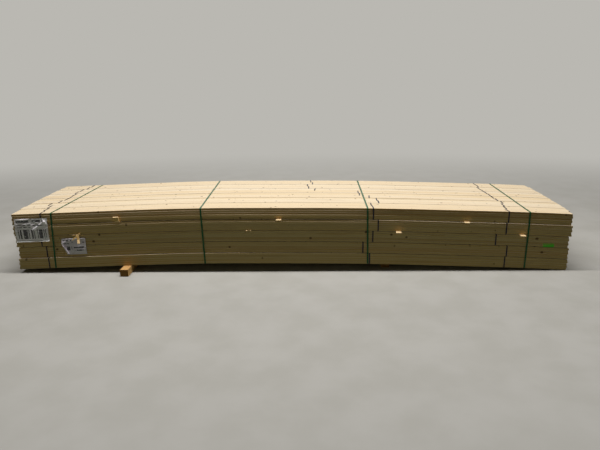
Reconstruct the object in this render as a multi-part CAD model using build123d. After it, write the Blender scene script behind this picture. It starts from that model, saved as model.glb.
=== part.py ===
"""Strapped pack of sawn roof battens lying on two timber bearers.

Five layers of small banded bundles, thin laths between the layers, four straps round
the whole pack and two label sheets on its front. All sizes are in millimetres. X runs
along the battens, Y from the front of the pack to the back, Z up. Places along X are
given from the pack's left end and places along Y from the top layer's front face.
The last step moves the whole pack so that it stands centred on the origin.
"""
import os

from build123d import *

# Battens
BATTEN_LENGTH = 5400
BATTEN_WIDTH = 50
BATTEN_THICKNESS = 22
COURSE_GAP = 0.2
PAIR_GAP = 0.4
GAP_DEPTH = 15
END_STEP = 1.2
FACE_STEPS = [0, 3, 1, 2, 0.5]
BUNDLE_OVERLENGTH = [0, 12, 24, 24, 26, 28, 28, 28, 28, 28, 24, 10]

# Small bundles
BUNDLES_ACROSS = 12
BATTENS_ACROSS = 2
COURSES_HIGH = 5
BUNDLE_GAP = 6

# Layers from the top down: shift towards the back, and how far each end lies to the right
LAYER_SHIFT = [0, -6, -2, -4, -12]
LEFT_ENDS = [0, 0, 6, 18, 11]
RIGHT_ENDS = [2, 9, -9, -2, 2]

# Bend of the pack: three straight stretches, the outer two drooping
LEFT_BEND = 1750
RIGHT_BEND = 3450
LEFT_SLOPE = 0.031
RIGHT_SLOPE = 0.035

# Thin laths between the layers, with places and overhang of each joint from the top down
LATH_THICKNESS = 3
LATH_WIDTH = 50
LATH_OVERHANGS = [40, 40, -4, -4]
LATH_PLACES = [
    [1042, 2615, 4410],
    [632, 2320, 3765, 4945],
    [900, 2700, 4600],
    [760, 2400, 4300],
]

# Laths whose front end is bent, by joint and number: turned up, or broken and hanging down
LATH_TURNS = {(0, 0): 58, (1, 0): -84}
LATH_TURN_CLEARANCE = 6

# Bearers under the pack
BEARER_WIDTH = 80
BEARER_HEIGHT = 70
BEARER_LENGTH = 1250
LEFT_BEARER_PLACE = 1100
RIGHT_BEARER_PLACE = 3660
LEFT_BEARER_OUT = 135
RIGHT_BEARER_OUT = -90

# Straps round the whole pack
STRAP_PLACES = [395, 1862, 3466, 5000]
STRAP_WIDTH = 16
STRAP_THICKNESS = 1.0
STRAP_CLEARANCE = 0.5

# Bands round each small bundle, three along its length
BAND_WIDTH = 12
BAND_THICKNESS = 0.8
BAND_CLEARANCE = 0.3
LEFT_BANDS = [290, 278, 262, 213, 272, 294, 296, 290, 267, 280, 312, 322]
MIDDLE_BANDS = [3520, 3512, 3596, 3588, 3523, 3430, 3424, 2960, 2890, 2876, 2932, 2910]
RIGHT_BANDS = [4800, 4812, 4826, 4850, 4832, 4822, 4820, 4812, 4804, 4796, 4820, 4814]
LOWER_LEFT_BANDS = [300, 263, 303, 313]
LOWER_MIDDLE_BANDS = [3572, 3522, 3426, 3496]
LOWER_RIGHT_BANDS = [4788, 4695, 4808, 4804]

# Label sheets on the front
SLEEVE_WIDTH = 328
SLEEVE_HEIGHT = 232
SLEEVE_THICKNESS = 1.2
SLEEVE_PLACE = 24
SLEEVE_DROP = 46
TAG_WIDTH = 240
TAG_HEIGHT = 166
TAG_THICKNESS = 0.8
TAG_PLACE = 466
TAG_DROP = 262
TAG_CORNER = 70

BUNDLE_WIDTH = BATTENS_ACROSS * BATTEN_WIDTH + (BATTENS_ACROSS - 1) * PAIR_GAP
BUNDLE_PITCH = BUNDLE_WIDTH + BUNDLE_GAP
LAYERS = len(LAYER_SHIFT)
LAYER_HEIGHT = COURSES_HIGH * BATTEN_THICKNESS
LAYER_PITCH = LAYER_HEIGHT + LATH_THICKNESS
PACK_WIDTH = BUNDLES_ACROSS * BUNDLE_PITCH - BUNDLE_GAP
PACK_HEIGHT = LAYERS * LAYER_PITCH - LATH_THICKNESS


def underside(x):
    """Height of the pack's underside above the floor, at a place along the pack."""
    left_edge = LEFT_BEARER_PLACE - BEARER_WIDTH / 2
    right_edge = RIGHT_BEARER_PLACE + BEARER_WIDTH / 2
    left_bend = BEARER_HEIGHT + LEFT_SLOPE * (LEFT_BEND - left_edge)
    right_bend = BEARER_HEIGHT + RIGHT_SLOPE * (right_edge - RIGHT_BEND)
    if x < LEFT_BEND:
        return left_bend - LEFT_SLOPE * (LEFT_BEND - x)
    if x > RIGHT_BEND:
        return right_bend - RIGHT_SLOPE * (x - RIGHT_BEND)
    share = (x - LEFT_BEND) / (RIGHT_BEND - LEFT_BEND)
    return left_bend + share * (right_bend - left_bend)


def layer_base(layer):
    """Height of a layer's underside above the pack's underside, layer 0 on top."""
    return (LAYERS - 1 - layer) * LAYER_PITCH


def bundle_front(layer, bundle):
    """Place along Y of a bundle's front face."""
    return LAYER_SHIFT[layer] + bundle * BUNDLE_PITCH


def column_front(layer, column):
    """Place along Y of a batten's front face, columns counted from the front."""
    bundle, place = divmod(column, BATTENS_ACROSS)
    return bundle_front(layer, bundle) + place * (BATTEN_WIDTH + PAIR_GAP)


def box(x, y, z, length, depth, height):
    """Box from its lowest corner."""
    return Pos(x, y, z) * Box(length, depth, height, align=Align.MIN)


def batten_ends(layer, column, course):
    """Places of a batten's ends along the pack: they lie a few millimetres unevenly."""
    step = END_STEP * ((7 * column + 5 * (course + layer)) % 9 - 4)
    over = BUNDLE_OVERLENGTH[column // BATTENS_ACROSS]
    return LEFT_ENDS[layer] - over + step, BATTEN_LENGTH + RIGHT_ENDS[layer] + over + step


def face_step(layer, course):
    """How far an outer batten stands out of the pack's front or back face."""
    return FACE_STEPS[(course + 2 * layer) % len(FACE_STEPS)]


def bent_block(stations, heights, thickness, front, width):
    """Block between two bent faces, its ends cut plumb, from stations along the pack."""
    lower = list(zip(stations, heights))
    upper = [(x, z + thickness) for x, z in reversed(lower)]
    side = Plane.XZ * make_face(Polyline(*lower, *upper, close=True))
    return Pos(0, front, 0) * extrude(side, width, dir=(0, 1, 0))


def outer_batten(layer, column, course, out):
    """One batten of the front or back face, pushed out of it by its own step."""
    left, right = batten_ends(layer, column, course)
    base = layer_base(layer) + course * BATTEN_THICKNESS
    stations = [left, LEFT_BEND, RIGHT_BEND, right]
    heights = [underside(x) + base for x in stations]
    front = column_front(layer, column) + out * face_step(layer, course)
    return bent_block(stations, heights, BATTEN_THICKNESS - COURSE_GAP, front, BATTEN_WIDTH)


def inner_column(layer, column):
    """Battens lying tight on each other inside a layer, each with its own stepped ends."""
    left_end, right_end = [], []
    for course in range(COURSES_HIGH):
        ends = batten_ends(layer, column, course)
        for end, x in zip((left_end, right_end), ends):
            base = underside(x) + layer_base(layer) + course * BATTEN_THICKNESS
            end += [(x, base), (x, base + BATTEN_THICKNESS)]
    low = [(x, underside(x) + layer_base(layer)) for x in (LEFT_BEND, RIGHT_BEND)]
    high = [(x, z + LAYER_HEIGHT) for x, z in reversed(low)]
    outline = low + right_end + high + left_end[::-1]
    side = Plane.XZ * make_face(Polyline(*outline, close=True))
    return Pos(0, column_front(layer, column), 0) * extrude(side, BATTEN_WIDTH, dir=(0, 1, 0))


def core(layer):
    """Inside of a layer made as one solid, which closes the gaps that show between its battens."""
    left = max(batten_ends(layer, 0, course)[0] for course in range(COURSES_HIGH))
    right = min(batten_ends(layer, 0, course)[1] for course in range(COURSES_HIGH))
    stations = [left + GAP_DEPTH, LEFT_BEND, RIGHT_BEND, right - GAP_DEPTH]
    heights = [underside(x) + layer_base(layer) + GAP_DEPTH for x in stations]
    front = bundle_front(layer, 0) + GAP_DEPTH
    return bent_block(stations, heights, LAYER_HEIGHT - 2 * GAP_DEPTH, front,
                      PACK_WIDTH - 2 * GAP_DEPTH)


def layer_battens(layer):
    """All battens of a layer: single ones on both faces, tight columns between them."""
    last = BUNDLES_ACROSS * BATTENS_ACROSS - 1
    pieces = [inner_column(layer, column) for column in range(1, last)]
    for course in range(COURSES_HIGH):
        pieces.append(outer_batten(layer, 0, course, -1))
        pieces.append(outer_batten(layer, last, course, 1))
    return [core(layer).fuse(*pieces)] if layer == LAYERS - 1 else pieces


def ring(hull, clearance, thickness, x, width):
    """Flat band round a section of the pack, centred on a place along it."""
    inner = offset(hull, clearance, kind=Kind.INTERSECTION)
    outer = offset(hull, clearance + thickness, kind=Kind.INTERSECTION)
    section = Plane.YZ * (outer - inner)
    return Pos(x - width / 2, 0, 0) * extrude(section, width, dir=(1, 0, 0))


def section_block(layer, first, last, x):
    """Rectangle round some bundles of a layer, with the steps of its outer battens."""
    low = bundle_front(layer, first) - (max(FACE_STEPS) if first == 0 else 0)
    high = bundle_front(layer, last) + BUNDLE_WIDTH
    high += max(FACE_STEPS) if last == BUNDLES_ACROSS - 1 else 0
    corner = Pos(low, underside(x) + layer_base(layer))
    return corner * Rectangle(high - low, LAYER_HEIGHT, align=Align.MIN)


def strap(x):
    """Strap drawn tight round all layers."""
    blocks = [section_block(layer, 0, BUNDLES_ACROSS - 1, x) for layer in range(LAYERS)]
    edges = [edge for block in blocks for edge in block.edges()]
    return ring(make_hull(edges), STRAP_CLEARANCE, STRAP_THICKNESS, x, STRAP_WIDTH)


def bundle_band(layer, bundle, x):
    """Thin band round one small bundle."""
    block = section_block(layer, bundle, bundle, x)
    return ring(block, BAND_CLEARANCE, BAND_THICKNESS, x, BAND_WIDTH)


def top_bands():
    """Bands of the top layer, one set round each bundle."""
    places = [LEFT_BANDS, MIDDLE_BANDS, RIGHT_BANDS]
    return [bundle_band(0, bundle, row[bundle]) for row in places
            for bundle in range(BUNDLES_ACROSS)]


def lower_bands(layer):
    """Bands that show on a lower layer, of its front and back bundle, ending at a core."""
    places = [LOWER_LEFT_BANDS, LOWER_MIDDLE_BANDS, LOWER_RIGHT_BANDS]
    bands = [bundle_band(layer, bundle, row[layer - 1]) for row in places
             for bundle in (0, BUNDLES_ACROSS - 1)]
    return [band - core(layer) for band in bands] if layer == LAYERS - 1 else bands


def joint_laths(joint):
    """Laths in the joint under a layer, their ends standing out or ending flush."""
    pieces = []
    for number, place in enumerate(LATH_PLACES[joint]):
        stations = [place - LATH_WIDTH / 2, place + LATH_WIDTH / 2]
        heights = [underside(x) + layer_base(joint) - LATH_THICKNESS for x in stations]
        turn = LATH_TURNS.get((joint, number), 0)
        overhang = LATH_OVERHANGS[joint]
        front = LAYER_SHIFT[joint] - overhang
        back = LAYER_SHIFT[joint] + PACK_WIDTH + overhang
        if turn:
            front = min(LAYER_SHIFT) - max(FACE_STEPS) - LATH_TURN_CLEARANCE - LATH_THICKNESS
        lath = bent_block(stations, heights, LATH_THICKNESS, front, back - front)
        if turn:
            low = [z + min(turn, 0) for z in heights]
            lath += bent_block(stations, low, LATH_THICKNESS + abs(turn), front, LATH_THICKNESS)
        pieces.append(lath)
    return pieces


def bearer(place, out):
    """Sawn bearer on the floor, out is how far it shows in front of the pack."""
    return box(place - BEARER_WIDTH / 2, -out, 0, BEARER_WIDTH, BEARER_LENGTH, BEARER_HEIGHT)


def sleeve():
    """Clear sleeve with a printed sheet, over the bands of the upper layers."""
    top = underside(SLEEVE_PLACE) + PACK_HEIGHT - SLEEVE_DROP
    y = min(LAYER_SHIFT[:3]) - max(FACE_STEPS) - BAND_CLEARANCE - BAND_THICKNESS - SLEEVE_THICKNESS
    return box(SLEEVE_PLACE, y, top - SLEEVE_HEIGHT, SLEEVE_WIDTH, SLEEVE_THICKNESS, SLEEVE_HEIGHT)


def tag():
    """Smaller sheet whose lower left corner is bent away."""
    top = underside(TAG_PLACE) + PACK_HEIGHT - TAG_DROP
    y = min(LAYER_SHIFT[2:4]) - max(FACE_STEPS) - TAG_THICKNESS
    sheet = box(TAG_PLACE, y, top - TAG_HEIGHT, TAG_WIDTH, TAG_THICKNESS, TAG_HEIGHT)
    corner = sheet.edges().filter_by(Axis.Y).group_by(Axis.Z)[0].sort_by(Axis.X)[0]
    return chamfer(corner, TAG_CORNER)


nodes = {}
for layer in range(LAYERS):
    nodes[f"layer_{layer + 1}_battens"] = layer_battens(layer)
nodes["layer_1_bands"] = top_bands()
for layer in range(1, LAYERS):
    nodes[f"layer_{layer + 1}_bands"] = lower_bands(layer)
for joint in range(LAYERS - 1):
    nodes[f"laths_{joint + 1}"] = joint_laths(joint)
for number, place in enumerate(STRAP_PLACES):
    nodes[f"strap_{number + 1}"] = [strap(place)]
nodes["bearer_left"] = [bearer(LEFT_BEARER_PLACE, LEFT_BEARER_OUT)]
nodes["bearer_right"] = [bearer(RIGHT_BEARER_PLACE, RIGHT_BEARER_OUT)]
nodes["label_sleeve"] = [sleeve()]
nodes["label_tag"] = [tag()]

groups = {name: Compound(pieces) for name, pieces in nodes.items()}
whole = Compound(list(groups.values())).bounding_box()
to_origin = Pos(-whole.center().X, -whole.center().Y, -whole.min.Z)

os.makedirs("parts", exist_ok=True)
for name, group in groups.items():
    export_step(to_origin * group, f"parts/{name}.step")
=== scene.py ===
"""Strapped pack of sawn roof battens on two bearers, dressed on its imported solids."""
import logging
import math
from dataclasses import dataclass
from enum import Enum
from functools import partial
from typing import Any, Callable, Iterable, Sequence

import bmesh
import bpy
import numpy as np
from mathutils import Matrix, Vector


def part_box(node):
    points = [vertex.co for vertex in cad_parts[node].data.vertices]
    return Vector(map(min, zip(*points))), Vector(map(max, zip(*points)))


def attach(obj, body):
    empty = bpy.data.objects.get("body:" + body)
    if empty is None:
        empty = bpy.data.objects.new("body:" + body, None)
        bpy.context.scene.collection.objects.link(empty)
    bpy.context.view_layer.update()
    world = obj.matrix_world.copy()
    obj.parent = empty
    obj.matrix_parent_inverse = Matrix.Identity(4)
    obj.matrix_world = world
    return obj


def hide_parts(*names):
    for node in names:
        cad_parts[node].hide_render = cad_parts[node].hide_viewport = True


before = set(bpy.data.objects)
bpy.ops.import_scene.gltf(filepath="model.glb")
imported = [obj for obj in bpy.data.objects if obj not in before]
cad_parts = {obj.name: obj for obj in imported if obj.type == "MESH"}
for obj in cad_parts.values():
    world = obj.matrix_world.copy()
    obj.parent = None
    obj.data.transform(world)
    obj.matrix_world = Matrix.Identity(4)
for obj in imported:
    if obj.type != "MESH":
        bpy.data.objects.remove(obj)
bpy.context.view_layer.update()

LOG = logging.getLogger("batten_pack")
BODY = "root"
MM = 0.001
# Settings that many nodes share: a smooth step from one range to another, and a mix of colours
SMOOTH = {"interpolation_type": "SMOOTHSTEP"}
COLOURS = {"data_type": "RGBA"}
BLACK = (0.0, 0.0, 0.0, 1.0)


def linear(hex_colour: str) -> tuple[float, float, float, float]:
    """Turns an sRGB hex colour to the linear values that a shader takes.

    Args:
        hex_colour: Colour as "#RRGGBB".

    Returns:
        Linear red, green and blue, and an alpha of 1.
    """
    channels = []
    for start in (1, 3, 5):
        value = int(hex_colour[start:start + 2], 16) / 255
        low = value <= 0.04045
        channels.append(value / 12.92 if low else ((value + 0.055) / 1.055) ** 2.4)
    return (channels[0], channels[1], channels[2], 1.0)


def add_node(tree: bpy.types.NodeTree, kind: str, inputs: dict[Any, Any] | Sequence[Any] = (),
             output: int | str = 0, **settings: Any) -> bpy.types.NodeSocket | None:
    """Adds a shader node with its settings, values and links.

    Args:
        tree: Node tree of the material or world.
        kind: Blender's name of the node type, after "ShaderNode".
        inputs: Values or output sockets for its inputs: in their order, or by name or number.
        output: Name or number of the output that is wanted.
        **settings: Attributes of the node itself.

    Returns:
        That output's socket, or None if the node has no outputs.
    """
    node = tree.nodes.new(f"ShaderNode{kind}")
    for name, value in settings.items():
        setattr(node, name, value)
    for key, value in inputs.items() if isinstance(inputs, dict) else enumerate(inputs):
        if isinstance(value, bpy.types.NodeSocket):
            tree.links.new(value, node.inputs[key])
        else:
            node.inputs[key].default_value = value
    return node.outputs[output] if len(node.outputs) else None


def fresh_material(name: str) -> tuple[bpy.types.Material, Callable[..., Any]]:
    """Starts an empty material.

    Args:
        name: Name of the material.

    Returns:
        The material, and add_node tied to its node tree.
    """
    material = bpy.data.materials.new(name)
    material.use_nodes = True
    material.node_tree.nodes.clear()
    return material, partial(add_node, material.node_tree)


@dataclass(frozen=True)
class PackShape:
    """Sizes of the pack that its pieces share, in metres.

    They are those of the solids, apart from layer_skew, front_steps_mm, front_leans_mm and
    open_joint, which follow the photograph more closely.
    """

    batten_length: float = 5.4
    batten_width: float = 0.050
    batten_thickness: float = 0.022
    pair_gap: float = 0.0004
    bundle_gap: float = 0.006
    lath_thickness: float = 0.003
    # The joints stand open as in the photo: the lower layers' top courses are this much thinner
    # and the laths as much thicker than in the solids
    open_joint: float = 0.0026
    bundles_across: int = 12
    battens_wide: int = 2
    courses_high: int = 5
    # How far each layer's front lies behind the top one's, from the top down: below 0 is in front
    layer_shift: tuple[float, ...] = (0.0, -0.006, -0.002, -0.004, -0.012)
    # A layer that lies askew: how far its front moves at the left end, and from there to the right
    layer_skew: tuple[tuple[float, float], ...] = (
        (0.0, 0.0), (0.0, 0.0), (0.0, 0.0), (0.0, 0.0), (-0.009, 0.017))
    skew_run: float = 0.7
    # How far each front batten stands out of its layer's face, from the bottom course up, in mm
    front_steps_mm: tuple[tuple[float, ...], ...] = (
        (1.2, 5.6, 3.6, 2.2, 0.0), (0.4, 0.8, 1.3, 2.4, 0.1), (2.5, 1.9, 1.3, 1.0, 0.1),
        (1.6, 1.7, 0.6, 0.2, 0.0), (0.2, 0.5, 0.3, 0.6, 0.8))
    # How far the front battens of each layer lean back over their own height, in mm
    front_leans_mm: tuple[float, ...] = (1.0, 0.35, 0.25, 0.30, 0.35)
    # Towards the right end the battens of the two upper layers lie nearly flush
    flush_from: float = 3.30
    flush_run: float = 0.5
    flush_share: float = 0.8
    flush_layers: int = 2
    # The pack rests on the outer edges of its bearers: it rises to the right as far as the left
    # bend, is nearly level between the bends and falls again, and its right end droops
    left_bend: float = 1.750
    right_bend: float = 3.450
    left_slope: float = 0.031
    right_slope: float = 0.035
    bend_softness: float = 0.55
    droop_start: float = 4.85
    droop: float = 0.025
    bearer_width: float = 0.080
    bearer_height: float = 0.070
    left_bearer: float = 1.100
    right_bearer: float = 3.660
    # The ends of the battens are uneven by steps of this size
    end_step: float = 0.0012
    # Steps of the back battens, and the room that bands leave over the front ones
    face_steps: tuple[float, ...] = (0.0, 0.003, 0.001, 0.002, 0.0005)
    step_room: float = 0.001
    # How much farther out each bundle ends on both sides, from the front, and each layer's ends
    bundle_overlength: tuple[float, ...] = (
        0.0, 0.012, 0.024, 0.024, 0.026, 0.028, 0.028, 0.028, 0.028, 0.028, 0.024, 0.010)
    left_ends: tuple[float, ...] = (0.0, 0.0, 0.006, 0.018, 0.011)
    right_ends: tuple[float, ...] = (0.002, 0.009, -0.009, -0.002, 0.002)

    @property
    def layers(self) -> int:
        """Number of layers."""
        return len(self.layer_shift)

    @property
    def bundle_width(self) -> float:
        """Width of one small bundle."""
        return self.battens_wide * (self.batten_width + self.pair_gap) - self.pair_gap

    @property
    def bundle_pitch(self) -> float:
        """Distance from one small bundle to the next."""
        return self.bundle_width + self.bundle_gap

    @property
    def layer_height(self) -> float:
        """Height of one layer."""
        return self.courses_high * self.batten_thickness

    @property
    def layer_pitch(self) -> float:
        """Distance from one layer to the next."""
        return self.layer_height + self.lath_thickness

    @property
    def width(self) -> float:
        """Width of the pack."""
        return self.bundles_across * self.bundle_pitch - self.bundle_gap

    @property
    def height(self) -> float:
        """Height of the pack, from its underside to its top."""
        return self.layers * self.layer_pitch - self.lath_thickness

    @property
    def left(self) -> float:
        """X of the pack's left end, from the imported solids."""
        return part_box("layer_1_battens")[0][0] + max(self.bundle_overlength) + 4 * self.end_step

    @property
    def front(self) -> float:
        """Y of the top layer's front face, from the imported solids."""
        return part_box("layer_1_battens")[0][1] + max(self.face_steps)

    def underside(self, place: np.ndarray | float) -> np.ndarray:
        """Height of the pack's underside, with soft bends.

        Args:
            place: Places along the pack, from its left end.

        Returns:
            Heights above the floor at those places.
        """
        place = np.asarray(place, dtype=float)
        left_edge = self.left_bearer - self.bearer_width / 2
        right_edge = self.right_bearer + self.bearer_width / 2
        left_height = self.bearer_height + self.left_slope * (self.left_bend - left_edge)
        right_height = self.bearer_height + self.right_slope * (right_edge - self.right_bend)
        slope = (right_height - left_height) / (self.right_bend - self.left_bend)
        height = left_height + self.left_slope * (place - self.left_bend)
        turns = ((self.left_bend, slope - self.left_slope), (self.right_bend, -self.right_slope - slope))
        for bend, turn in turns:
            past = np.clip(place - bend + self.bend_softness, 0, None)
            inside = np.clip(past, None, 2 * self.bend_softness)
            height = height + turn * (inside ** 2 / (4 * self.bend_softness) + past - inside)
        return height - self.droop * np.clip(place - self.droop_start, 0, None) ** 2

    def layer_base(self, layer: int) -> float:
        """Height of a layer's underside above the pack's, layer 0 on top."""
        return (self.layers - 1 - layer) * self.layer_pitch

    def bundle_front(self, layer: int, bundle: int, place: np.ndarray | float) -> np.ndarray:
        """Gives the Y of a bundle's front face.

        Args:
            layer: Layer of the bundle, 0 on top.
            bundle: Place of the bundle, from the front.
            place: Places along the pack.

        Returns:
            Y at those places, in the row frame.
        """
        start, turn = self.layer_skew[layer]
        skew = start + turn * np.clip(np.asarray(place) / (self.skew_run * self.batten_length), 0, 1)
        return self.front + self.layer_shift[layer] + skew + bundle * self.bundle_pitch

    def batten_ends(self, layer: int, column: int, course: int) -> tuple[float, float]:
        """Gives the places of a batten's two ends.

        Args:
            layer: Layer of the batten, 0 on top.
            column: Its place across the layer, from the front.
            course: Its place in the bundle, from the bottom.

        Returns:
            Places of the left and the right end along the pack.
        """
        step = self.end_step * ((7 * column + 5 * (course + layer)) % 9 - 4)
        over = self.bundle_overlength[column // self.battens_wide]
        return (self.left_ends[layer] - over + step,
                self.batten_length + self.right_ends[layer] + over + step)

    def looseness(self, layer: int, along: np.ndarray) -> np.ndarray:
        """Gives how much of a layer's steps and lean is left, at places along the pack.

        Args:
            layer: Layer, 0 on top.
            along: Places along the pack.

        Returns:
            Shares, 1 where the layer is loose.
        """
        if layer >= self.flush_layers:
            return np.ones_like(along)
        return 1 - self.flush_share * np.clip((along - self.flush_from) / self.flush_run, 0, 1)

    def front_step(self, layer: int, course: int, along: np.ndarray) -> np.ndarray:
        """Gives how far a batten stands out of the front face, at places along the pack."""
        return self.front_steps_mm[layer][course] * MM * self.looseness(layer, along)

    def front_lean(self, layer: int, along: np.ndarray) -> np.ndarray:
        """Gives how far a front batten's top edge lies behind its bottom edge."""
        return self.front_leans_mm[layer] * MM * self.looseness(layer, along)

    def back_step(self, layer: int, course: int) -> float:
        """Gives how far a batten stands out of the back face."""
        return self.face_steps[(course + 2 * layer) % len(self.face_steps)]

    def bundle_span(self, layer: int, bundle: int, place: float) -> tuple[float, float]:
        """Gives a bundle's outermost faces, with the steps of the outer battens.

        Args:
            layer: Layer of the bundle, 0 on top.
            bundle: Place of the bundle, from the front.
            place: Place along the pack.

        Returns:
            Y of its front and its back.
        """
        low = float(self.bundle_front(layer, bundle, place))
        high = low + self.bundle_width
        if bundle == 0:
            steps = (self.front_step(layer, course, np.array(place)) for course in range(self.courses_high))
            low -= float(max(steps)) + self.step_room
        high += max(self.face_steps) if bundle == self.bundles_across - 1 else 0
        return low, high


@dataclass(frozen=True)
class PaintPatch:
    """Sprayed patch on the front of one layer: its places along the pack, and below its top."""

    layer: int = 2
    start: float = 5.152
    end: float = 5.258
    top: float = 0.303
    bottom: float = 0.345
    depth: float = 0.02
    middle: float = 5.2

    def box(self, shape: PackShape) -> tuple[float, float, float, float, float]:
        """Gives the patch's bounds.

        Args:
            shape: Sizes of the pack.

        Returns:
            Low and high X, low and high Z, and the deepest Y that the paint reaches.
        """
        level = float(shape.underside(self.middle)) + shape.height
        return (shape.left + self.start, shape.left + self.end, level - self.bottom, level - self.top,
                shape.front + self.depth)


class Piece:
    """Collects the vertices, faces and attributes of like parts that make one object."""

    def __init__(self, name: str) -> None:
        """Starts an empty piece.

        Args:
            name: Name of the object to be made.
        """
        self.name = name
        self.points: list[np.ndarray] = []
        self.faces: list[list[int]] = []
        self.values: dict[str, list[np.ndarray]] = {}
        self.count = 0

    def add(self, points: np.ndarray, faces: Iterable[Sequence[int]], **values: Any) -> None:
        """Adds one part.

        Args:
            points: Its vertices, one row each.
            faces: Its faces, as rows of its own vertex numbers.
            **values: Value of each attribute, one for the part or one for each vertex.
        """
        self.points.append(points)
        self.faces.extend([index + self.count for index in face] for face in faces)
        for name, value in values.items():
            value = np.atleast_1d(np.asarray(value, dtype=float))
            if len(value) != len(points):
                value = np.repeat(value[None, ...], len(points), axis=0)
            self.values.setdefault(name, []).append(value.reshape(len(points), -1))
        self.count += len(points)

    def make(self, material: bpy.types.Material, slot: str, nodes: Sequence[str]) -> bpy.types.Object:
        """Makes the object and lets it ride on the pack.

        Args:
            material: Its material.
            slot: Material slot of the record that it takes its finish from; not used.
            nodes: Solids that it stands for.

        Returns:
            The new object.
        """
        mesh = bpy.data.meshes.new(self.name)
        mesh.from_pydata(np.vstack(self.points).tolist(), [], self.faces)
        for name, parts in self.values.items():
            data = np.vstack(parts)
            kind = "FLOAT" if data.shape[1] == 1 else "FLOAT_VECTOR"
            key = "value" if data.shape[1] == 1 else "vector"
            mesh.attributes.new(name, kind, "POINT").data.foreach_set(key, data.ravel())
        mesh.materials.append(material)
        shell = bmesh.new()
        shell.from_mesh(mesh)
        bmesh.ops.recalc_face_normals(shell, faces=shell.faces)
        shell.to_mesh(mesh)
        shell.free()
        thing = bpy.data.objects.new(self.name, mesh)
        bpy.context.scene.collection.objects.link(thing)
        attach(thing, BODY)
        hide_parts(*nodes)
        LOG.info("%s: %d faces", self.name, len(mesh.polygons))
        return thing


def tube_faces(rings: int, around: int, closed: bool = False) -> list[list[int]]:
    """Lists the faces of a skin over rings of vertices, one ring after the other.

    Args:
        rings: Number of rings.
        around: Vertices in each ring.
        closed: Whether the last ring joins the first one, or both ends are capped.

    Returns:
        The faces as lists of vertex numbers.
    """
    faces = []
    for ring in range(rings if closed else rings - 1):
        here = ring * around
        there = (ring + 1) % rings * around
        for side in range(around):
            after = (side + 1) % around
            faces.append([here + side, here + after, there + after, there + side])
    if not closed:
        faces.append(list(range(around))[::-1])
        faces.append([(rings - 1) * around + side for side in range(around)])
    return faces


def eased_section(width: float, height: float, ease: float) -> np.ndarray:
    """Draws the section of a bar with its corners cut.

    Args:
        width: Size along Y.
        height: Size along Z.
        ease: Size of the cut corners.

    Returns:
        Rows of Y and Z, anticlockwise from the bottom left as seen from the right end.
    """
    low, wide, high = ease, width - ease, height - ease
    return np.array([(low, 0), (wide, 0), (width, low), (width, high),
                     (wide, height), (low, height), (0, high), (0, low)])


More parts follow.
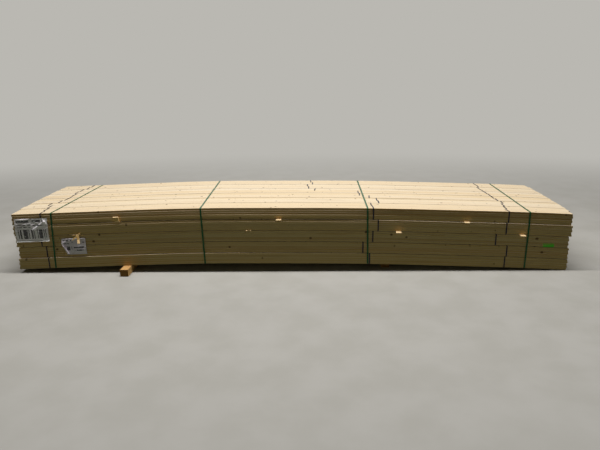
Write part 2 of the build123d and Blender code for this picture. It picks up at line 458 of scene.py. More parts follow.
@dataclass(frozen=True)
class SawnSoftwood:
    """Fresh spruce, sawn: pale and matt, with rings, streaks, brown knots and a faint saw ripple."""

    # Sawn wood is not glossy: what the eye sees is its grain, its edges darkened by dust and painted shade,
    # its sides browned by painted shade, and its darker ends, end grain with painted shade
    name: str = "sawn_spruce"
    pale: str = "#F8F0DC"
    warm: str = "#EDD8AE"
    ring: str = "#C69C66"
    knot: str = "#54361F"
    grey: str = "#AFA48A"
    # Painted shade: the front and back sides are painted browner and darker than the tops, as faces turned
    # from the light; their colour is multiplied by this
    side_shade_tone: str = "#E6DCB8"
    end_shade: float = 0.45
    length_axis: int = 0
    roughness: float = 0.78
    ring_width_mm: float = 6.0
    streak_width_mm: float = 16.0
    streak_length_mm: float = 1300.0
    knot_spacing_mm: float = 330.0
    # Share of dust and painted shade along the arrises, where the battens meet
    arris_dust_and_shade: float = 0.30
    # Shares of the warm tone that come from the batten and from its streaks, and of the colours
    # of rings and knots
    tint_share: float = 0.55
    streak_share: float = 0.38
    ring_share: float = 0.30
    knot_share: float = 0.85
    # Sprayed patch on the front: low and high X, low and high Z, deepest Y
    paint: tuple[float, float, float, float, float] | None = None
    paint_colour: str = "#2FAE1C"
    # Painted glow: the sprayed patch emits a little green light of its own, so it looks brighter than the
    # light falling on it makes it
    patch_painted_glow: str = "#0E3A08"

    def knots(self, add: Callable[..., Any], place: bpy.types.NodeSocket, tint: bpy.types.NodeSocket,
              side: bpy.types.NodeSocket) -> bpy.types.NodeSocket:
        """Makes a mask of round knots that run through each batten.

        Args:
            add: Adds a node to the material.
            place: Position on the batten: along it, across it and up it.
            tint: Number of the batten, from 0 to 1.
            side: 1 on the front and the back, where knots show low and drawn out.

        Returns:
            The mask, 1 on a knot.
        """
        along, across, up = add("SeparateXYZ", [place]).node.outputs
        spacing = self.knot_spacing_mm * MM
        cell = add("Math", [add("Math", [along, spacing], operation="DIVIDE")], operation="FLOOR")
        # Each stretch of a batten rolls its own knot: its place along and across, and its radius,
        # up to 11 mm, which leaves a third of the stretches without one where it is below 0
        seed = add("CombineXYZ", [cell, add("Math", [tint, 977.0], operation="MULTIPLY")])
        chance = add("TexWhiteNoise", {"Vector": seed}, "Color", noise_dimensions="2D")
        rolls = add("SeparateXYZ", [chance]).node.outputs
        inset = add("Math", [rolls[0], 0.7, 0.15], operation="MULTIPLY_ADD")
        centre = add("Math", [add("Math", [cell, inset], operation="ADD"), spacing], operation="MULTIPLY")
        lateral = add("Math", [rolls[1], 0.050, -0.025], operation="MULTIPLY_ADD")
        radius = add("Math", [rolls[2], 0.017, -0.006], operation="MULTIPLY_ADD")
        squeeze = add("Math", [side, -0.35, 1.0], operation="MULTIPLY_ADD")
        away = add("Math", [along, centre], operation="SUBTRACT")
        offset = add("CombineXYZ", [add("Math", [away, squeeze], operation="MULTIPLY"),
                                    add("Math", [across, lateral], operation="SUBTRACT"),
                                    add("Math", [up, side], operation="MULTIPLY")])
        reach = add("VectorMath", [offset], "Value", operation="LENGTH")
        inside = add("Math", [radius, reach], operation="SUBTRACT")
        return add("MapRange", [inside, -0.003, 0.002], **SMOOTH)

    def wood_colour(self, add: Callable[..., Any], grain: bpy.types.NodeSocket,
                    tint: bpy.types.NodeSocket) -> bpy.types.NodeSocket:
        """Colours the wood by its rings, streaks and greyed patches.

        Args:
            add: Adds a node to the material.
            grain: Position from the pith of the log, in metres.
            tint: Number of the batten, from 0 to 1.

        Returns:
            The colour's socket.
        """
        parts = add("SeparateXYZ", [grain]).node.outputs
        reach = add("VectorMath", [add("CombineXYZ", {1: parts[1], 2: parts[2]})], "Value",
                    operation="LENGTH")
        # The rings wander off their circles by up to 14 mm, over 45 mm across and 0.6 m along
        wavy = add("VectorMath", [grain, (1.6, 22.0, 22.0)], operation="MULTIPLY")
        drift = add("TexNoise", {"Vector": wavy, "Scale": 1.0, "Detail": 2.0})
        radius = add("Math", [drift, 0.014, reach], operation="MULTIPLY_ADD")
        # Yearly rings of spruce are 2 to 4 mm wide: drawn at 6 mm so that they show
        turns = add("Math", [radius, self.ring_width_mm * MM], operation="DIVIDE")
        late = add("MapRange", [add("Math", [turns], operation="FRACT"), 0.35, 0.95], **SMOOTH)
        # Streaks of tone follow the fibres: long along the batten and narrow across it
        narrow = 1 / (self.streak_width_mm * MM)
        drawn = add("VectorMath", [grain, (1 / (self.streak_length_mm * MM), narrow, narrow)],
                    operation="MULTIPLY")
        streak = add("TexNoise", {"Vector": drawn, "Scale": 1.0, "Detail": 4.0, "Roughness": 0.6})
        streak = add("MapRange", [streak, 0.32, 0.72], **SMOOTH)
        # Greyed patches are a third of a metre wide and three times as long
        patchy = add("VectorMath", [grain, (0.9, 3.0, 3.0)], operation="MULTIPLY")
        cloud = add("TexNoise", {"Vector": patchy, "Scale": 1.0, "Detail": 2.0})
        streak = add("Math", [streak, self.streak_share], operation="MULTIPLY")
        warmth = add("Math", [tint, self.tint_share, streak], operation="MULTIPLY_ADD")
        colour = add("Mix", {0: warmth, 6: linear(self.pale), 7: linear(self.warm)}, 2, **COLOURS)
        colour = add("Mix", {0: add("Math", [late, self.ring_share], operation="MULTIPLY"), 6: colour,
                             7: linear(self.ring)}, 2, **COLOURS)
        return add("Mix", {0: add("MapRange", [cloud, 0.55, 0.8, 0.0, 0.4], **SMOOTH), 6: colour,
                           7: linear(self.grey)}, 2, **COLOURS)

    def build(self) -> bpy.types.Material:
        """Builds the material.

        Returns:
            The finished material.
        """
        material, add = fresh_material(self.name)
        grain = add("Attribute", output="Vector", attribute_name="grain")
        place = add("Attribute", output="Vector", attribute_name="place")
        tint = add("Attribute", output="Fac", attribute_name="tint")
        colour = self.wood_colour(add, grain, tint)
        # Sawn edges are bruised and hold dust in their last 2 mm, and are darkened further by painted shade
        # of the joints between battens: each batten shows its outline
        _, across, up = add("SeparateXYZ", [place]).node.outputs
        edge_dust_and_shade = add("Math", [
            add("MapRange", [add("Math", [across], operation="ABSOLUTE"), 0.0222, 0.0246], **SMOOTH),
            add("MapRange", [add("Math", [up], operation="ABSOLUTE"), 0.0090, 0.0107], **SMOOTH)],
            operation="MAXIMUM")
        colour = add("Mix", {0: add("Math", [edge_dust_and_shade, self.arris_dust_and_shade], operation="MULTIPLY"), 6: colour,
                             7: linear(self.ring)}, 2, **COLOURS)
        facing = add("SeparateXYZ", [add("NewGeometry", output="True Normal")]).node.outputs
        side = add("MapRange", [add("Math", [facing[1]], operation="ABSOLUTE"), 0.6, 0.9], **SMOOTH)
        knots = self.knots(add, place, tint, side)
        colour = add("Mix", {0: add("Math", [knots, self.knot_share], operation="MULTIPLY"), 6: colour,
                             7: linear(self.knot)}, 2, **COLOURS)
        # Painted shade: the front and back sides take a browner, darker colour than the tops
        colour = add("Mix", {0: side, 6: colour, 7: linear(self.side_shade_tone)}, 2, **COLOURS,
                     blend_type="MULTIPLY")
        tone = add("Attribute", output="Fac", attribute_name="tone")
        colour = add("Mix", {0: add("Math", [side, tone], operation="MULTIPLY"), 6: colour,
                             7: linear(self.ring)}, 2, **COLOURS, blend_type="MULTIPLY")
        # Sawn ends drink in the light: end grain is darker than the faces, and the ends are darkened
        # further by painted shade
        end = add("Math", [facing[self.length_axis]], operation="ABSOLUTE")
        end = add("MapRange", [end, 0.8, 0.95, 0.0, self.end_shade], **SMOOTH)
        colour = add("Mix", {0: end, 6: colour, 7: linear(self.ring)}, 2, **COLOURS)
        glow: Any = BLACK
        if self.paint:
            mask = self.paint_mask(add)
            colour = add("Mix", {0: mask, 6: colour, 7: linear(self.paint_colour)}, 2, **COLOURS)
            # Painted glow: the sprayed patch emits a little green light of its own
            glow = add("Mix", {0: mask, 6: glow, 7: linear(self.patch_painted_glow)}, 2, **COLOURS)
        # Band-saw marks cross the grain about every 8 mm, which is a scale of 40 for this texture,
        # and between them torn fibres are about 1 mm wide and 55 mm long
        saw = add("TexWave", {"Vector": grain, "Scale": 40.0, "Distortion": 2.0, "Detail": 2.0}, "Fac",
                  bands_direction="X")
        thready = add("VectorMath", [grain, (18.0, 900.0, 900.0)], operation="MULTIPLY")
        fibre = add("TexNoise", {"Vector": thready, "Scale": 1.0, "Detail": 2.0})
        height = add("Math", [saw, 0.35, fibre], operation="MULTIPLY_ADD")
        rough = add("MapRange", [fibre, 0.2, 0.8, self.roughness - 0.06, self.roughness + 0.08], **SMOOTH)
        add("OutputMaterial", {"Surface": add("BsdfPrincipled", {
            "Base Color": colour, "Roughness": rough, "IOR": 1.5, "Specular IOR Level": 0.12,
            "Emission Color": glow, "Emission Strength": 1.0 if self.paint else 0.0,
            "Normal": add("Bump", {"Height": height, "Strength": 0.35, "Distance": 0.0006})})})
        return material

    def paint_mask(self, add: Callable[..., Any]) -> bpy.types.NodeSocket:
        """Makes a mask of the sprayed patch on the front.

        Args:
            add: Adds a node to the material.

        Returns:
            The mask, 1 where the paint is thick.
        """
        low_x, high_x, low_z, high_z, deepest = self.paint
        spot = add("TexCoord", output="Object")
        parts = add("SeparateXYZ", [spot]).node.outputs
        # The sprayed edge is ragged by 1 cm, and the streaks in it are 11 mm high and 12 cm long
        ragged = add("TexNoise", {"Vector": spot, "Scale": 60.0, "Detail": 4.0})
        rag = add("Math", [ragged, 0.02, -0.01], operation="MULTIPLY_ADD")
        mask = add("Math", [parts[1], deepest], operation="LESS_THAN")
        for axis, low, high in ((0, low_x, high_x), (2, low_z, high_z)):
            centre, half = (low + high) / 2, (high - low) / 2
            away = add("Math", [add("Math", [parts[axis], centre], operation="SUBTRACT")],
                       operation="ABSOLUTE")
            away = add("Math", [away, rag], operation="ADD")
            mask = add("Math", [mask, add("MapRange", [away, half + 0.004, half - 0.004], **SMOOTH)],
                       operation="MULTIPLY")
        brushed = add("VectorMath", [spot, (8.0, 1.0, 90.0)], operation="MULTIPLY")
        streaks = add("TexNoise", {"Vector": brushed, "Scale": 1.0, "Detail": 3.0})
        streaks = add("MapRange", [streaks, 0.3, 0.6, 0.45, 0.95], **SMOOTH)
        return add("Math", [mask, streaks], operation="MULTIPLY")


@dataclass
class BattenLayer:
    """One layer of the pack: its battens with their own tones, steps and gaps."""

    shape: PackShape
    layer: int
    seed: int = 41
    stations: int = 30
    ease: float = 0.0012
    # Battens are this much smaller than their place in the stack, so that their joints show
    shrink: float = 0.0005
    # Slow waves along a batten: share and radians per metre of each, and how far they move it
    waves: tuple[tuple[float, float], ...] = ((0.6, 1.9), (0.4, 4.3))
    front_wander: float = 0.00036
    back_wander: float = 0.00156
    inner_wander: float = 0.0002
    farthest_out: float = 0.006
    # How far from the pith of its log a batten is cut, and along how many metres of it
    pith_reach: float = 0.060
    log_length: float = 40.0
    # How much browner the darkest batten of a layer is than the palest one
    tone_spread: tuple[float, ...] = (0.60, 0.40, 0.30, 0.30, 0.20)
    # How much lower each bundle's top lies than the highest one's, from the front
    top_drops: tuple[float, ...] = (
        0.0, 0.0012, 0.0004, 0.0016, 0.0002, 0.0013, 0.0, 0.0012, 0.0003, 0.0014, 0.0002, 0.0010)

    def grow(self, piece: Piece, column: int, course: int, draw: np.random.Generator) -> None:
        """Adds one batten.

        Args:
            piece: The layer's object under construction.
            column: Place of the batten across the layer, from the front.
            course: Place of the batten in its bundle, from the bottom.
            draw: Random numbers of this layer.
        """
        shape = self.shape
        bundle, place = divmod(column, shape.battens_wide)
        along = np.linspace(*shape.batten_ends(self.layer, column, course), self.stations)
        thin = 0.0
        if course == shape.courses_high - 1:
            thin = shape.open_joint if self.layer else self.top_drops[bundle]
        section = eased_section(shape.batten_width - 2 * self.shrink,
                                shape.batten_thickness - self.shrink - thin, self.ease)
        # Four phases are drawn for two waves: the draws that follow depend on it
        phases = draw.uniform(0, 2 * math.pi, 4)
        wander = sum(share * np.sin(along * turn + phase)
                     for (share, turn), phase in zip(self.waves, phases))
        last = shape.bundles_across * shape.battens_wide - 1
        if column == 0:
            out = shape.front_step(self.layer, course, along) + self.front_wander * wander
            shift = -np.clip(out, 0, self.farthest_out)
        elif column == last:
            out = shape.back_step(self.layer, course) + self.back_wander * wander
            shift = np.clip(out, 0, self.farthest_out)
        else:
            shift = self.inner_wander * wander
        base = (shape.underside(along) + shape.layer_base(self.layer)
                + course * shape.batten_thickness)
        front = (shape.bundle_front(self.layer, bundle, along) + shift + self.shrink
                 + place * (shape.batten_width + shape.pair_gap))
        points = np.empty((self.stations, len(section), 3))
        points[..., 0] = (along + shape.left)[:, None]
        points[..., 1] = front[:, None] + section[:, 0]
        points[..., 2] = base[:, None] + section[:, 1]
        if column == 0:
            foreside = (section[:, 0] < shape.batten_width / 2) * section[:, 1] / shape.batten_thickness
            points[..., 1] += shape.front_lean(self.layer, along)[:, None] * foreside
        local = np.empty_like(points)
        local[..., 0] = along[:, None]
        local[..., 1:] = section - section.mean(axis=0)
        pith = np.array([draw.uniform(0, self.log_length),
                         *draw.uniform(-self.pith_reach, self.pith_reach, 2)])
        piece.add(points.reshape(-1, 3), tube_faces(self.stations, len(section)),
                  place=local.reshape(-1, 3), grain=(local + pith).reshape(-1, 3),
                  tint=[draw.random()], tone=[draw.random() * self.tone_spread[self.layer]])

    def make(self, wood: bpy.types.Material) -> bpy.types.Object:
        """Makes the whole layer.

        Args:
            wood: The battens' material.

        Returns:
            The layer's object.
        """
        piece = Piece(f"batten_layer_{self.layer + 1}")
        draw = np.random.default_rng(self.seed + self.layer)
        for column in range(self.shape.bundles_across * self.shape.battens_wide):
            for course in range(self.shape.courses_high):
                self.grow(piece, column, course, draw)
        return piece.make(wood, "batten_wood", [f"layer_{self.layer + 1}_battens"])


def sweep_band(piece: Piece, path: np.ndarray, lean: np.ndarray, width: float, thickness: float,
               closed: bool = True, tilt: float = 0.0, pith: Sequence[float] = (0.0, 0.0, 0.0),
               tint: float = 0.5) -> None:
    """Adds a flat band or board that follows a path across the pack.

    Args:
        piece: The object under construction.
        path: Y and Z of the band's inner face, anticlockwise as seen from the right end.
        lean: X of the band's middle at each point of the path.
        width: Width of the band, along X.
        thickness: Thickness of the band, measured outward.
        closed: Whether the band closes on itself.
        tilt: Rise of the band across its width, per metre along X.
        pith: Place in the log that a wooden one is cut from.
        tint: Number of the band or board, from 0 to 1.
    """
    before = path - np.roll(path, 1, axis=0)
    after = np.roll(path, -1, axis=0) - path
    if not closed:
        before[0], after[-1] = after[0], before[-1]
    before /= np.linalg.norm(before, axis=1, keepdims=True)
    after /= np.linalg.norm(after, axis=1, keepdims=True)
    along = before + after
    along /= np.linalg.norm(along, axis=1, keepdims=True)
    outward = np.stack([along[:, 1], -along[:, 0]], axis=1)
    # The outer face is mitred at each corner, but reaches out no farther than twice the thickness
    cut = np.clip(np.sum(along * after, axis=1), 0.5, 1)[:, None]
    outer = path + outward * thickness / cut
    travel = np.concatenate([[0], np.cumsum(np.linalg.norm(np.diff(path, axis=0), axis=1))])
    rings = []
    for side, base in ((-0.5, path), (0.5, path), (0.5, outer), (-0.5, outer)):
        ring = np.column_stack([lean + side * width, base])
        ring[:, 2] += tilt * side * width
        rings.append(ring)
    points = np.stack(rings, axis=1).reshape(-1, 3)
    across = np.tile([-0.5, 0.5, 0.5, -0.5], len(path)) * width
    depth = np.tile([0.0, 0.0, 1.0, 1.0], len(path)) * thickness
    strip = np.column_stack([np.repeat(travel, 4), across, depth])
    piece.add(points, tube_faces(len(path), 4, closed=closed), strip=strip, place=strip,
              grain=strip + np.asarray(pith), tint=[tint])


def rounded_loop(corners: np.ndarray, radius: float, steps: int = 4) -> np.ndarray:
    """Rounds the corners of a closed outline.

    Args:
        corners: Y and Z of the corners, anticlockwise.
        radius: Distance from each corner at which the rounding starts.
        steps: Points on each rounding.

    Returns:
        Rows of Y and Z of the rounded outline.
    """
    points = []
    for index, corner in enumerate(corners):
        into = corners[index - 1] - corner
        out = corners[(index + 1) % len(corners)] - corner
        start = corner + into / np.linalg.norm(into) * radius
        end = corner + out / np.linalg.norm(out) * radius
        for share in np.linspace(0, 1, steps):
            points.append((1 - share) ** 2 * start + 2 * share * (1 - share) * corner
                          + share ** 2 * end)
    return np.array(points)


def convex_outline(points: np.ndarray) -> np.ndarray:
    """Corners of the tightest convex outline round a set of points.

    Args:
        points: Rows of Y and Z.

    Returns:
        The outline's corners, anticlockwise.
    """
    ordered = sorted(map(tuple, points))
    halves = []
    for row in (ordered, ordered[::-1]):
        half: list[tuple[float, float]] = []
        for point in row:
            while len(half) > 1 and ((half[-1][0] - half[-2][0]) * (point[1] - half[-2][1])
                                     - (half[-1][1] - half[-2][1]) * (point[0] - half[-2][0])) <= 1e-9:
                half.pop()
            half.append(point)
        halves.append(half[:-1])
    return np.array(halves[0] + halves[1])


@dataclass(frozen=True)
class DrawnPolymer:
    """Band of drawn polypropylene or polyester: satin, with a fine rolled pattern and pale scuffs."""

    # The pattern breaks up the light on the band, and the scuffs run along it where it was pulled
    name: str
    colour: str
    scuffed: str
    roughness: float
    pattern_mm: float

    def build(self) -> bpy.types.Material:
        """Builds the material.

        Returns:
            The finished material.
        """
        material, add = fresh_material(self.name)
        strip = add("Attribute", output="Vector", attribute_name="strip")
        # Scuffs are about 4 mm wide and 7 cm long
        rubbed = add("VectorMath", [strip, (14.0, 260.0, 1.0)], operation="MULTIPLY")
        scuff = add("TexNoise", {"Vector": rubbed, "Scale": 1.0, "Detail": 3.0})
        scuff = add("MapRange", [scuff, 0.5, 0.75], **SMOOTH)
        colour = add("Mix", {0: add("Math", [scuff, 0.5], operation="MULTIPLY"),
                             6: linear(self.colour), 7: linear(self.scuffed)}, 2, **COLOURS)
        # The rolled pattern repeats about every two millimetres, slantwise over the band
        turned = add("VectorRotate", {"Vector": strip, "Angle": math.radians(45)})
        checks = add("TexChecker", {"Vector": turned, "Scale": 1 / (self.pattern_mm * MM)}, "Fac")
        add("OutputMaterial", {"Surface": add("BsdfPrincipled", {
            "Base Color": colour, "IOR": 1.57, "Specular IOR Level": 0.2,
            "Roughness": add("Math", [scuff, 0.2, self.roughness], operation="MULTIPLY_ADD"),
            "Normal": add("Bump", {"Height": checks, "Strength": 0.25, "Distance": 0.0002})})})
        return material


@dataclass
class PackStraps:
    """Four straps round the whole pack, each leaning a little as it was drawn tight."""

    shape: PackShape
    width: float = 0.016
    thickness: float = 0.0010
    clearance: float = 0.0005
    corner_radius: float = 0.007
    # Places along the pack at the top front edge, the top back edge and the bottom front edge
    places: tuple[tuple[float, float, float], ...] = (
        (0.395, 0.420, 0.376), (1.862, 1.834, 1.876), (3.466, 3.458, 3.476), (5.000, 5.004, 4.996))

    def outline(self, place: float) -> np.ndarray:
        """Finds the corners of the pack's section that a strap is drawn round.

        Args:
            place: Place of the strap along the pack.

        Returns:
            Rows of Y and Z, anticlockwise.
        """
        shape = self.shape
        points = []
        for layer in range(shape.layers):
            low = float(shape.underside(place)) + shape.layer_base(layer)
            front = shape.bundle_span(layer, 0, place)[0]
            back = shape.bundle_span(layer, shape.bundles_across - 1, place)[1]
            for y in (front - self.clearance, back + self.clearance):
                points += [(y, low - self.clearance), (y, low + shape.layer_height + self.clearance)]
        return convex_outline(np.array(points))

    def make(self, finish: bpy.types.Material) -> list[bpy.types.Object]:
        """Makes the straps.

        Args:
            finish: The straps' material.

        Returns:
            One object for each strap.
        """
        made = []
        for number, (top_front, top_back, bottom_front) in enumerate(self.places, 1):
            piece = Piece(f"green_strap_{number}")
            path = rounded_loop(self.outline(top_front), self.corner_radius)
            low, high = path.min(axis=0), path.max(axis=0)
            back = (path[:, 0] - low[0]) / (high[0] - low[0])
            down = (high[1] - path[:, 1]) / (high[1] - low[1])
            lean = top_front + back * (top_back - top_front) + down * (bottom_front - top_front)
            sweep_band(piece, path, lean + self.shape.left, self.width, self.thickness)
            made.append(piece.make(finish, "green_strap", [f"strap_{number}"]))
        return made


@dataclass
class BundleBands:
    """Thin dark bands round the small bundles, three on each."""

    shape: PackShape
    width: float = 0.012
    thickness: float = 0.0008
    clearance: float = 0.0003
    corner_radius: float = 0.003
    # Places along the pack of the top layer's bands, from the front bundle to the back one
    top_rows: tuple[tuple[float, ...], ...] = (
        (0.290, 0.278, 0.262, 0.213, 0.272, 0.294, 0.296, 0.290, 0.267, 0.280, 0.312, 0.322),
        (3.520, 3.512, 3.596, 3.588, 3.523, 3.430, 3.424, 2.960, 2.890, 2.876, 2.932, 2.910),
        (4.800, 4.812, 4.826, 4.850, 4.832, 4.822, 4.820, 4.812, 4.804, 4.796, 4.820, 4.814))
    # The same for the lower layers, from the second one down
    lower_rows: tuple[tuple[float, ...], ...] = (
        (0.300, 0.263, 0.303, 0.313), (3.572, 3.522, 3.426, 3.496), (4.788, 4.695, 4.808, 4.804))
    # A band's ends lie up to this far apart along the pack, from the bundle's front to its back
    skew: float = 0.008
    seed: int = 7

    def band(self, piece: Piece, layer: int, bundle: int, place: float,
             draw: np.random.Generator) -> None:
        """Adds one band.

        Args:
            piece: The object under construction.
            layer: Layer of the bundle, from the top.
            bundle: Place of the bundle, from the front.
            place: Place of the band along the pack.
            draw: Random numbers for the band's lean.
        """
        shape = self.shape
        low = float(shape.underside(place)) + shape.layer_base(layer) - self.clearance
        front, back = shape.bundle_span(layer, bundle, place)
        front -= self.clearance
        back += self.clearance
        wide = back - front
        high = low + (shape.layer_height + 2 * self.clearance - (shape.open_joint if layer else 0.0))
        corners = np.array([(front, low), (back, low), (back, high), (front, high)])
        path = rounded_loop(corners, self.corner_radius, 3)
        share = (path[:, 0] - path[:, 0].min()) / wide
        lean = place + shape.left + self.skew * draw.uniform(-1, 1) * (share - 0.5)
        sweep_band(piece, path, lean, self.width, self.thickness)

    def make(self, finish: bpy.types.Material) -> list[bpy.types.Object]:
        """Makes all bands that show.

        Args:
            finish: The bands' material.

        Returns:
            One object for each layer.
        """
        draw = np.random.default_rng(self.seed)
        made = []
        last = self.shape.bundles_across - 1
        for layer in range(self.shape.layers):
            piece = Piece(f"bundle_bands_{layer + 1}")
            if layer == 0:
                spots = [(bundle, place) for row in self.top_rows for bundle, place in enumerate(row)]
            else:
                spots = [(bundle, row[layer - 1]) for row in self.lower_rows for bundle in (0, last)]
            for bundle, place in spots:
                self.band(piece, layer, bundle, place, draw)
            made.append(piece.make(finish, "black_band", [f"layer_{layer + 1}_bands"]))
        return made


def splinter(piece: Piece, start: Sequence[float], end: Sequence[float], width: float,
             thickness: float) -> None:
    """Adds a torn splinter of wood that thins out at both ends.

    Args:
        piece: The object under construction.
        start: Position of its root.
        end: Position of its tip.
        width: Largest width, across Y.
        thickness: Largest thickness, along Y.
    """
    # Places along the splinter, and the share of its full section there
    profile = ((0.0, 0.5), (0.2, 1.0), (0.7, 0.8), (1.0, 0.12))
    root, tip = np.array(start), np.array(end)
    along = (tip - root) / np.linalg.norm(tip - root)
    side = np.cross(along, (0.0, 1.0, 0.0))
    side /= np.linalg.norm(side)
    depth = np.cross(side, along)
    corners = ((-1, -1), (1, -1), (1, 1), (-1, 1))
    points = [root + share * (tip - root) + scale / 2 * (across * width * side + out * thickness * depth)
              for share, scale in profile for across, out in corners]
    local = np.array([(0.02 * ring, across * width, 0.0)
                      for ring in range(len(profile)) for across, _ in corners])
    piece.add(np.array(points), tube_faces(len(profile), len(corners)),
              place=local, grain=local, strip=local, tint=[0.2])


class LathEnd(Enum):
    """How the front end of a lath looks."""

    PLAIN = "plain"
    TURNED_UP = "turned up"
    HANGING = "broken and hanging down"
    BROKEN_OFF = "broken off short"


@dataclass
class JointLaths:
    """Thin laths between the layers, their rough ends standing out on both sides."""

    shape: PackShape
    width: float = 0.050
    thickness: float = 0.0052
    # The laths lie this far under the layer above them
    under: float = 0.0002
    # How far the ends stand out in each joint, how unevenly, and how much they sag by their length
    overhangs: tuple[float, ...] = (0.040, 0.040, -0.005, -0.005)
    ragged: float = 0.007
    sag: float = 0.8
    places: tuple[tuple[float, ...], ...] = (
        (1.042, 2.615, 4.410), (0.632, 2.320, 3.765, 4.945), (0.900, 2.700, 4.600),
        (0.760, 2.400, 4.300))
    seed: int = 90
    # Joint, number and end of each lath that isn't plain
    odd_ends: tuple[tuple[int, int, LathEnd], ...] = (
        (0, 0, LathEnd.TURNED_UP), (1, 0, LathEnd.HANGING), (1, 1, LathEnd.BROKEN_OFF))
    # Points of the run through the pack: Y from the top layer's front and Z from the joint
    run: tuple[tuple[float, float], ...] = ((0.3, 0.0), (0.9, 0.0))
    # The same of the odd ends, from the tip inwards: broken laths end just in front of the face
    turned_up: tuple[tuple[float, float], ...] = (
        (-0.050, 0.0545), (-0.034, 0.0575), (-0.028, 0.050), (-0.023, 0.028), (-0.018, 0.009),
        (-0.006, -0.0002))
    broken: tuple[tuple[float, float], ...] = ((-0.0105, 0.0),)
    hanging: tuple[tuple[float, float], ...] = (
        (-0.064, -0.076), (-0.036, -0.046), (-0.025, -0.026), (-0.018, -0.008), (-0.010, -0.0003))
    # How far the hanging end leans to the right, at the same points
    hanging_lean: tuple[float, ...] = (0.026, 0.014, 0.008, 0.004, 0.002)
    hanging_width: float = 0.023
    # Both ends of each loose splinter, its thinner one last: X from the broken lath's middle, and
    # Y and Z as above
    splinters: tuple[tuple[tuple[float, float, float], tuple[float, float, float]], ...] = (
        ((-0.036, -0.062, -0.046), (0.034, -0.016, 0.020)),
        ((-0.006, -0.020, -0.006), (-0.046, -0.046, 0.002)))
    splinter_width: float = 0.011
    splinter_thickness: float = 0.003
    # The right edge of the turned up lath is split off and leans out
    split_edge: tuple[tuple[float, float, float], tuple[float, float, float]] = (
        (0.029, -0.034, 0.055), (0.032, -0.052, 0.018))
    split_width: float = 0.009
    # Torn tongues are left of the lath that is broken off short: X from its middle, and length
    tongues: tuple[tuple[float, float], ...] = ((-0.018, 0.016), (0.017, 0.0096))
    tongue_width: float = 0.013
    tongue_root: float = 0.006
    tongue_drop: float = 0.001
    # Of the wood: length of log that it comes from, distance from its pith, and the warmest tint
    log_length: float = 40.0
    pith: tuple[float, float] = (0.03, 0.01)
    warmest: float = 0.6

    def front_end(self, joint: int, number: int) -> LathEnd:
        """Gives the kind of a lath's front end."""
        return {(row, place): end for row, place, end in self.odd_ends}.get((joint, number), LathEnd.PLAIN)

    def front_path(self, end: LathEnd, joint: int, draw: np.random.Generator
                   ) -> tuple[tuple[float, float], ...]:
        """Gives the points of a lath's front end.

        Args:
            end: Kind of the end.
            joint: Joint that it lies in, from the top.
            draw: Random numbers of this joint.

        Returns:
            Y and Z of the points, as in turned_up.
        """
        if end is LathEnd.TURNED_UP:
            return self.turned_up
        if end in (LathEnd.HANGING, LathEnd.BROKEN_OFF):
            return self.broken
        face, reach = self.shape.layer_shift[joint], self.overhangs[joint]
        if reach < 0:
            return ((face - reach, 0.0),)
        reach += draw.uniform(-1, 1) * self.ragged
        return tuple((face - reach * share, -self.sag * (reach * share) ** 2)
                     for share in (1.0, 0.6, 0.3, 0.0))

    def back_path(self, joint: int, draw: np.random.Generator) -> list[tuple[float, float]]:
        """Gives the points of a lath's back end.

        Args:
            joint: Joint that it lies in, from the top.
            draw: Random numbers of this joint.

        Returns:
            Y and Z of the points, as in turned_up but from the face outwards.
        """
        reach, edge = self.overhangs[joint], self.shape.width + self.shape.layer_shift[joint]
        if reach < 0:
            return [(edge + reach, 0.0)]
        reach += draw.uniform(-1, 1) * self.ragged
        return [(edge + reach * share, -self.sag * (reach * share) ** 2) for share in (0.3, 0.6, 1.0)]

    def lath(self, piece: Piece, joint: int, number: int, draw: np.random.Generator) -> None:
        """Adds one lath.

        Args:
            piece: The joint's object under construction.
            joint: Joint that it lies in, from the top.
            number: Place of the lath in its joint, from the left.
            draw: Random numbers of this joint.
        """
        shape, place = self.shape, self.places[joint][number]
        top = float(shape.underside(place)) + shape.layer_base(joint) - self.under
        probe = 0.01
        slope = float(shape.underside(place + probe) - shape.underside(place - probe)) / (2 * probe)
        end = self.front_end(joint, number)
        # The back end is drawn before the front one
        back = self.back_path(joint, draw)
        path = np.array([*self.front_path(end, joint, draw), *self.run, *back]) + (shape.front, top)
        tone = {"pith": (draw.uniform(0, self.log_length), *self.pith),
                "tint": draw.uniform(0.0, self.warmest)}
        spot = np.array([place + shape.left, shape.front, top])
        sweep_band(piece, path, np.full(len(path), spot[0]), self.width, self.thickness,
                   closed=False, tilt=slope, **tone)
        if end is LathEnd.HANGING:
            sweep_band(piece, np.array(self.hanging) + spot[1:], spot[0] + np.array(self.hanging_lean),
                       self.hanging_width, self.thickness, closed=False, **tone)
            for root, tip in self.splinters:
                splinter(piece, spot + root, spot + tip, self.splinter_width, self.splinter_thickness)
        if end is LathEnd.TURNED_UP:
            root, tip = self.split_edge
            splinter(piece, spot + root, spot + tip, self.split_width, self.splinter_thickness)
        if end is LathEnd.BROKEN_OFF:
            face = spot + (0, shape.layer_shift[joint], 0)
            for side, length in self.tongues:
                splinter(piece, face + (side, self.tongue_root, 0),
                         face + (side, -length, -self.tongue_drop), self.tongue_width, self.thickness)

    def make(self, wood: bpy.types.Material) -> list[bpy.types.Object]:
        """Makes the laths of all joints.

        Args:
            wood: The laths' material.

        Returns:
            One object for each joint.
        """
        made = []
        for joint, places in enumerate(self.places):
            piece = Piece(f"joint_laths_{joint + 1}")
            draw = np.random.default_rng(self.seed + joint)
            for number in range(len(places)):
                self.lath(piece, joint, number, draw)
            made.append(piece.make(wood, "lath_wood", [f"laths_{joint + 1}"]))
        return made


